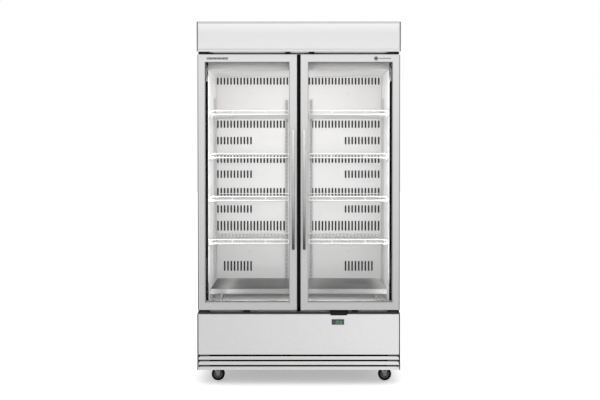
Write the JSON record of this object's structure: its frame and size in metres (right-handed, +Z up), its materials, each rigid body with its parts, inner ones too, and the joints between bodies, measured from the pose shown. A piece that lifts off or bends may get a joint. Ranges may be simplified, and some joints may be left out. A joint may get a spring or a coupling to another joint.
{
  "type": "glass door merchandiser",
  "caption": "Upright refrigerated display cabinet with two hinged glass doors, lit header panel, wire shelves, louvred base panel and swivel castors.",
  "frame": {"origin": "on the floor, at the centre of the bounding box", "axes": "+Z up, +X to the right seen from the front, doors face -Y"},
  "size_m": [1.13, 0.71, 2.018],
  "materials": {
    "silver_paint": "satin silver-grey powder coat",
    "galvanised": "zinc-coated sheet",
    "foam": "rigid foam, hidden between the skins",
    "white_liner": "white enamel",
    "duct_paint": "white enamel",
    "black_trim": "matt black",
    "sign_acrylic": "opal acrylic, smooth",
    "stainless_tray": "brushed",
    "chassis_paint": "dark grey paint",
    "display_lens": "gloss black",
    "black_grille": "black powder coat",
    "compressor_paint": "gloss black paint",
    "coil_fins": "bare fin stock",
    "fan_plastic": "moulded black",
    "lamp_black": "matt black profile",
    "bright_wire": "bright zinc wire",
    "black_steel": "black powder coat",
    "door_aluminium": "satin silver",
    "door_glass": "clear, double glazed",
    "gasket_rubber": "soft matt",
    "polished_handle": "polished",
    "white_wire": "white plastic coat on wire",
    "castor_zinc": "zinc plate",
    "tyre_rubber": "matt black tread",
    "pedal_black": "moulded black",
    "light_strip": "glowing diffuser",
    "white_plastic": "moulded white",
    "badge_silver": "satin chrome",
    "badge_dark": "gloss dark grey",
    "copper_pipe": "copper"
  },
  "bodies": {
    "cabinet": {"top_panel": "silver_paint", "rear_panel": "galvanised", "foam_body": "foam", "inner_liner": "white_liner", "rear_duct_panel": "duct_paint", "centre_mullion": "black_trim", "header_casing": "silver_paint", "sign_panel": "sign_acrylic", "base_tray": "stainless_tray", "base_chassis": "chassis_paint", "lower_front_panel": "silver_paint", "controller_housing": "black_trim", "controller_display": "display_lens", "rear_grille": "black_grille", "compressor": "compressor_paint", "condenser_coil": "coil_fins", "condenser_fan_shroud": "galvanised", "evaporator_coil": "coil_fins", "left_side_panel": "silver_paint", "left_lamp": "lamp_black", "left_tray_support": "bright_wire", "left_inner_pilaster": "galvanised", "left_outer_pilaster": "galvanised", "left_top_hinge": "black_steel", "left_bottom_hinge": "black_steel", "left_shelf_1": "white_wire", "left_shelf_2": "white_wire", "left_shelf_3": "white_wire", "left_shelf_4": "white_wire", "right_side_panel": "silver_paint", "right_lamp": "lamp_black", "right_tray_support": "bright_wire", "right_inner_pilaster": "galvanised", "right_outer_pilaster": "galvanised", "right_top_hinge": "black_steel", "right_bottom_hinge": "black_steel", "right_shelf_1": "white_wire", "right_shelf_2": "white_wire", "right_shelf_3": "white_wire", "right_shelf_4": "white_wire"},
    "left_door": {"left_door_frame": "door_aluminium", "left_glass_unit": "door_glass", "left_door_gasket": "gasket_rubber", "left_handle": "polished_handle"},
    "right_door": {"right_door_frame": "door_aluminium", "right_glass_unit": "door_glass", "right_door_gasket": "gasket_rubber", "right_handle": "polished_handle"},
    "condenser_fan": {"condenser_fan_blade": "fan_plastic"},
    "evaporator_fan": {"evaporator_fan_blade": "fan_plastic"},
    "front_left_castor": {"front_left_castor_fork": "castor_zinc"},
    "front_left_castor_roller": {"front_left_castor_wheel": "tyre_rubber"},
    "front_left_castor_pedal": {"front_left_castor_brake": "pedal_black"},
    "rear_left_castor": {"rear_left_castor_fork": "castor_zinc"},
    "rear_left_castor_roller": {"rear_left_castor_wheel": "tyre_rubber"},
    "front_right_castor": {"front_right_castor_fork": "castor_zinc"},
    "front_right_castor_roller": {"front_right_castor_wheel": "tyre_rubber"},
    "front_right_castor_pedal": {"front_right_castor_brake": "pedal_black"},
    "rear_right_castor": {"rear_right_castor_fork": "castor_zinc"},
    "rear_right_castor_roller": {"rear_right_castor_wheel": "tyre_rubber"}
  },
  "joints": [
    {"name": "left_door_hinge", "type": "hinge", "parent": "cabinet", "child": "left_door", "pos_m": [-0.549, -0.297, 1.13], "axis": [0, 0, -1], "range_deg": [0, 110], "stiffness_Nm_per_rad": 1.5, "springref_deg": -14.32},
    {"name": "right_door_hinge", "type": "hinge", "parent": "cabinet", "child": "right_door", "pos_m": [0.549, -0.297, 1.13], "axis": [0, 0, 1], "range_deg": [0, 110], "stiffness_Nm_per_rad": 1.5, "springref_deg": -14.32},
    {"name": "condenser_fan_spin", "type": "hinge", "parent": "cabinet", "child": "condenser_fan", "pos_m": [0.24, -0.186, 0.25], "axis": [0, 1, 0], "continuous": true},
    {"name": "evaporator_fan_spin", "type": "hinge", "parent": "cabinet", "child": "evaporator_fan", "pos_m": [-0.26, 0.222, 0.312], "axis": [0, 1, 0], "continuous": true},
    {"name": "front_left_castor_swivel", "type": "hinge", "parent": "cabinet", "child": "front_left_castor", "pos_m": [-0.473, -0.195, 0.09], "axis": [0, 0, 1], "continuous": true},
    {"name": "front_left_castor_roll", "type": "hinge", "parent": "front_left_castor", "child": "front_left_castor_roller", "pos_m": [-0.458, -0.195, 0.0375], "axis": [0, 1, 0], "continuous": true},
    {"name": "front_left_castor_brake_press", "type": "hinge", "parent": "front_left_castor", "child": "front_left_castor_pedal", "pos_m": [-0.481, -0.195, 0.078], "axis": [0, -1, 0], "range_deg": [0, 15]},
    {"name": "rear_left_castor_swivel", "type": "hinge", "parent": "cabinet", "child": "rear_left_castor", "pos_m": [-0.473, 0.25, 0.09], "axis": [0, 0, 1], "continuous": true},
    {"name": "rear_left_castor_roll", "type": "hinge", "parent": "rear_left_castor", "child": "rear_left_castor_roller", "pos_m": [-0.458, 0.25, 0.0375], "axis": [0, 1, 0], "continuous": true},
    {"name": "front_right_castor_swivel", "type": "hinge", "parent": "cabinet", "child": "front_right_castor", "pos_m": [0.473, -0.195, 0.09], "axis": [0, 0, 1], "continuous": true},
    {"name": "front_right_castor_roll", "type": "hinge", "parent": "front_right_castor", "child": "front_right_castor_roller", "pos_m": [0.488, -0.195, 0.0375], "axis": [0, 1, 0], "continuous": true},
    {"name": "front_right_castor_brake_press", "type": "hinge", "parent": "front_right_castor", "child": "front_right_castor_pedal", "pos_m": [0.465, -0.195, 0.078], "axis": [0, -1, 0], "range_deg": [0, 15]},
    {"name": "rear_right_castor_swivel", "type": "hinge", "parent": "cabinet", "child": "rear_right_castor", "pos_m": [0.473, 0.25, 0.09], "axis": [0, 0, 1], "continuous": true},
    {"name": "rear_right_castor_roll", "type": "hinge", "parent": "rear_right_castor", "child": "rear_right_castor_roller", "pos_m": [0.488, 0.25, 0.0375], "axis": [0, 1, 0], "continuous": true}
  ]
}
